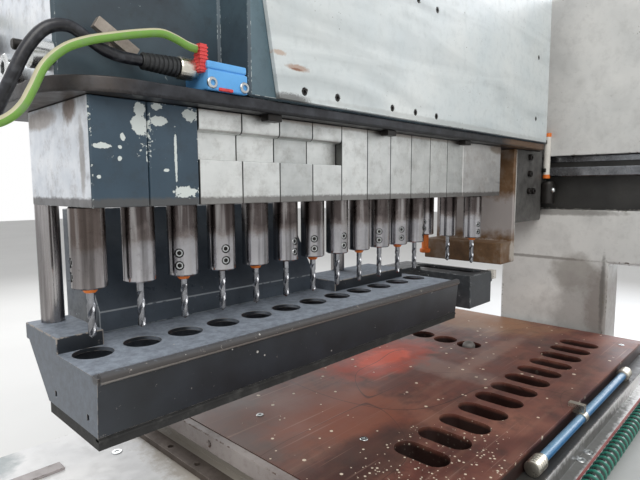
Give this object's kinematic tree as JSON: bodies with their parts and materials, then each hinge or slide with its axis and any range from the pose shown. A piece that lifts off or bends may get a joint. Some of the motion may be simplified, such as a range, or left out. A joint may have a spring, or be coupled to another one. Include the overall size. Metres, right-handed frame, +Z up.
{
  "type": "cnc drilling line",
  "caption": "Drilling station: a geared head holds a row of boring spindles over a slotted table, with a dust hood on guide rods and a slide on an upright.",
  "frame": {"origin": "on the floor under the middle of the bed", "axes": "+X along the long spindle row towards the upright, +Y away from the operator, +Z up"},
  "size_m": [0.73, 0.4, 0.6],
  "materials": {
    "white_paint": "worn white enamel with scuffs and stains",
    "laminate": "red-brown phenolic laminate, scratched",
    "pale_strip": "pale moulded edge strip",
    "grey_paint": "light warm grey machine enamel",
    "ground_steel": "ground and oiled",
    "tool_steel": "turned steel, stained brown at the top",
    "gear_steel": "hobbed gear steel, oiled",
    "blue_plastic": "blue moulded plastic",
    "green_plastic": "green ribbed conduit, glossy",
    "dark_steel": "dark slate paint, worn to bright metal at the edges",
    "worn_dark_paint": "dark paint under grey dust, lip worn to metal",
    "teal_paint": "dark teal paint with white chips",
    "aluminium": "milled aluminium, dull and spotted",
    "rusty_steel": "plate with red-brown rust",
    "black_rubber": "matt black rubber",
    "earth_yellow_green": "green and yellow wire sheath"
  },
  "bodies": {
    "machine_frame": {"bed": "white_paint", "table_plate": "laminate", "table_edge_strip": "pale_strip", "upright": "grey_paint", "carriage_rail": "ground_steel", "air_tube": "blue_plastic", "ribbed_conduit": "green_plastic"},
    "cross_carriage": {"carriage": "dark_steel"},
    "head": {"base_plate": "dark_steel", "cylinder_block_01": "teal_paint", "cylinder_block_02": "teal_paint", "cylinder_block_03": "aluminium", "cylinder_block_04": "aluminium", "cylinder_block_05": "aluminium", "cylinder_block_06": "aluminium", "cylinder_bank": "aluminium", "end_block": "aluminium", "housing": "teal_paint", "cover_plate": "white_paint", "end_plate": "rusty_steel", "head_bracket": "dark_steel", "sensor": "blue_plastic", "cable_plug": "black_rubber", "sensor_cable": "black_rubber", "earth_wire": "earth_yellow_green"},
    "hood_unit": {"hood": "worn_dark_paint", "cross_hood": "dark_steel", "guide_rod_left": "ground_steel", "guide_rod_right": "ground_steel", "extraction_duct": "dark_steel"},
    "gear_01": {"gear_01": "gear_steel"},
    "spindle_01": {"spindle_01": "tool_steel"},
    "gear_02": {"gear_02": "gear_steel"},
    "spindle_02": {"spindle_02": "tool_steel"},
    "gear_03": {"gear_03": "gear_steel"},
    "spindle_03": {"spindle_03": "tool_steel"},
    "gear_04": {"gear_04": "gear_steel"},
    "spindle_04": {"spindle_04": "tool_steel"},
    "gear_05": {"gear_05": "gear_steel"},
    "spindle_05": {"spindle_05": "tool_steel"},
    "gear_06": {"gear_06": "gear_steel"},
    "spindle_06": {"spindle_06": "tool_steel"},
    "gear_07": {"gear_07": "gear_steel"},
    "spindle_07": {"spindle_07": "tool_steel"},
    "gear_08": {"gear_08": "gear_steel"},
    "spindle_08": {"spindle_08": "tool_steel"},
    "gear_09": {"gear_09": "gear_steel"},
    "spindle_09": {"spindle_09": "tool_steel"},
    "gear_10": {"gear_10": "gear_steel"},
    "spindle_10": {"spindle_10": "tool_steel"},
    "gear_11": {"gear_11": "gear_steel"},
    "spindle_11": {"spindle_11": "tool_steel"},
    "gear_12": {"gear_12": "gear_steel"},
    "spindle_12": {"spindle_12": "tool_steel"},
    "gear_13": {"gear_13": "gear_steel"},
    "spindle_13": {"spindle_13": "tool_steel"},
    "gear_14": {"gear_14": "gear_steel"},
    "spindle_14": {"spindle_14": "tool_steel"},
    "gear_15": {"gear_15": "gear_steel"},
    "spindle_15": {"spindle_15": "tool_steel"}
  },
  "joints": [
    {"name": "carriage_travel", "type": "slide", "parent": "machine_frame", "child": "cross_carriage", "axis": [0, 1, 0], "range_m": [-0.12, 0.05]},
    {"name": "head_lift", "type": "slide", "parent": "cross_carriage", "child": "head", "axis": [0, 0, 1], "range_m": [-0.045, 0.03]},
    {"name": "hood_lift", "type": "slide", "parent": "head", "child": "hood_unit", "axis": [0, 0, 1], "range_m": [0, 0.03]},
    {"name": "gear_spin_01", "type": "hinge", "parent": "head", "child": "gear_01", "pos_m": [-0.295, 0.045, 0.417], "axis": [0, 0, 1], "continuous": true},
    {"name": "spindle_feed_01", "type": "slide", "parent": "gear_01", "child": "spindle_01", "axis": [0, 0, -1], "range_m": [0, 0.05], "stiffness_N_per_m": 100, "springref_m": -0.05},
    {"name": "gear_spin_02", "type": "hinge", "parent": "head", "child": "gear_02", "pos_m": [-0.263, 0.045, 0.417], "axis": [0, 0, 1], "continuous": true},
    {"name": "spindle_feed_02", "type": "slide", "parent": "gear_02", "child": "spindle_02", "axis": [0, 0, -1], "range_m": [0, 0.05], "stiffness_N_per_m": 100, "springref_m": -0.05},
    {"name": "gear_spin_03", "type": "hinge", "parent": "head", "child": "gear_03", "pos_m": [-0.231, 0.045, 0.417], "axis": [0, 0, 1], "continuous": true},
    {"name": "spindle_feed_03", "type": "slide", "parent": "gear_03", "child": "spindle_03", "axis": [0, 0, -1], "range_m": [0, 0.05], "stiffness_N_per_m": 100, "springref_m": -0.05},
    {"name": "gear_spin_04", "type": "hinge", "parent": "head", "child": "gear_04", "pos_m": [-0.199, 0.045, 0.417], "axis": [0, 0, 1], "continuous": true},
    {"name": "spindle_feed_04", "type": "slide", "parent": "gear_04", "child": "spindle_04", "axis": [0, 0, -1], "range_m": [0, 0.05], "stiffness_N_per_m": 100, "springref_m": -0.05},
    {"name": "gear_spin_05", "type": "hinge", "parent": "head", "child": "gear_05", "pos_m": [-0.167, 0.045, 0.417], "axis": [0, 0, 1], "continuous": true},
    {"name": "spindle_feed_05", "type": "slide", "parent": "gear_05", "child": "spindle_05", "axis": [0, 0, -1], "range_m": [0, 0.05], "stiffness_N_per_m": 100, "springref_m": -0.05},
    {"name": "gear_spin_06", "type": "hinge", "parent": "head", "child": "gear_06", "pos_m": [-0.135, 0.045, 0.417], "axis": [0, 0, 1], "continuous": true},
    {"name": "spindle_feed_06", "type": "slide", "parent": "gear_06", "child": "spindle_06", "axis": [0, 0, -1], "range_m": [0, 0.05], "stiffness_N_per_m": 100, "springref_m": -0.05},
    {"name": "gear_spin_07", "type": "hinge", "parent": "head", "child": "gear_07", "pos_m": [-0.103, 0.045, 0.417], "axis": [0, 0, 1], "continuous": true},
    {"name": "spindle_feed_07", "type": "slide", "parent": "gear_07", "child": "spindle_07", "axis": [0, 0, -1], "range_m": [0, 0.05], "stiffness_N_per_m": 100, "springref_m": -0.05},
    {"name": "gear_spin_08", "type": "hinge", "parent": "head", "child": "gear_08", "pos_m": [-0.071, 0.045, 0.417], "axis": [0, 0, 1], "continuous": true},
    {"name": "spindle_feed_08", "type": "slide", "parent": "gear_08", "child": "spindle_08", "axis": [0, 0, -1], "range_m": [0, 0.05], "stiffness_N_per_m": 100, "springref_m": -0.05},
    {"name": "gear_spin_09", "type": "hinge", "parent": "head", "child": "gear_09", "pos_m": [-0.039, 0.045, 0.417], "axis": [0, 0, 1], "continuous": true},
    {"name": "spindle_feed_09", "type": "slide", "parent": "gear_09", "child": "spindle_09", "axis": [0, 0, -1], "range_m": [0, 0.05], "stiffness_N_per_m": 100, "springref_m": -0.05},
    {"name": "gear_spin_10", "type": "hinge", "parent": "head", "child": "gear_10", "pos_m": [-0.007, 0.045, 0.417], "axis": [0, 0, 1], "continuous": true},
    {"name": "spindle_feed_10", "type": "slide", "parent": "gear_10", "child": "spindle_10", "axis": [0, 0, -1], "range_m": [0, 0.05], "stiffness_N_per_m": 100, "springref_m": -0.05},
    {"name": "gear_spin_11", "type": "hinge", "parent": "head", "child": "gear_11", "pos_m": [0.025, 0.045, 0.417], "axis": [0, 0, 1], "continuous": true},
    {"name": "spindle_feed_11", "type": "slide", "parent": "gear_11", "child": "spindle_11", "axis": [0, 0, -1], "range_m": [0, 0.05], "stiffness_N_per_m": 100, "springref_m": -0.05},
    {"name": "gear_spin_12", "type": "hinge", "parent": "head", "child": "gear_12", "pos_m": [0.057, 0.045, 0.417], "axis": [0, 0, 1], "continuous": true},
    {"name": "spindle_feed_12", "type": "slide", "parent": "gear_12", "child": "spindle_12", "axis": [0, 0, -1], "range_m": [0, 0.05], "stiffness_N_per_m": 100, "springref_m": -0.05},
    {"name": "gear_spin_13", "type": "hinge", "parent": "head", "child": "gear_13", "pos_m": [0.143, 0.0205, 0.417], "axis": [0, 0, 1], "continuous": true},
    {"name": "spindle_feed_13", "type": "slide", "parent": "gear_13", "child": "spindle_13", "axis": [0, 0, -1], "range_m": [0, 0.05], "stiffness_N_per_m": 100, "springref_m": -0.05},
    {"name": "gear_spin_14", "type": "hinge", "parent": "head", "child": "gear_14", "pos_m": [0.143, 0.0525, 0.417], "axis": [0, 0, 1], "continuous": true},
    {"name": "spindle_feed_14", "type": "slide", "parent": "gear_14", "child": "spindle_14", "axis": [0, 0, -1], "range_m": [0, 0.05], "stiffness_N_per_m": 100, "springref_m": -0.05},
    {"name": "gear_spin_15", "type": "hinge", "parent": "head", "child": "gear_15", "pos_m": [0.143, 0.0845, 0.417], "axis": [0, 0, 1], "continuous": true},
    {"name": "spindle_feed_15", "type": "slide", "parent": "gear_15", "child": "spindle_15", "axis": [0, 0, -1], "range_m": [0, 0.05], "stiffness_N_per_m": 100, "springref_m": -0.05}
  ],
  "couplings": [
    {"joint": "gear_spin_02", "follows": "gear_spin_01", "ratio": -1},
    {"joint": "gear_spin_03", "follows": "gear_spin_01", "ratio": 1},
    {"joint": "gear_spin_04", "follows": "gear_spin_01", "ratio": -1},
    {"joint": "gear_spin_05", "follows": "gear_spin_01", "ratio": 1},
    {"joint": "gear_spin_06", "follows": "gear_spin_01", "ratio": -1},
    {"joint": "gear_spin_07", "follows": "gear_spin_01", "ratio": 1},
    {"joint": "gear_spin_08", "follows": "gear_spin_01", "ratio": -1},
    {"joint": "gear_spin_09", "follows": "gear_spin_01", "ratio": 1},
    {"joint": "gear_spin_10", "follows": "gear_spin_01", "ratio": -1},
    {"joint": "gear_spin_11", "follows": "gear_spin_01", "ratio": 1},
    {"joint": "gear_spin_12", "follows": "gear_spin_01", "ratio": -1},
    {"joint": "gear_spin_14", "follows": "gear_spin_13", "ratio": -1},
    {"joint": "gear_spin_15", "follows": "gear_spin_13", "ratio": 1}
  ]
}
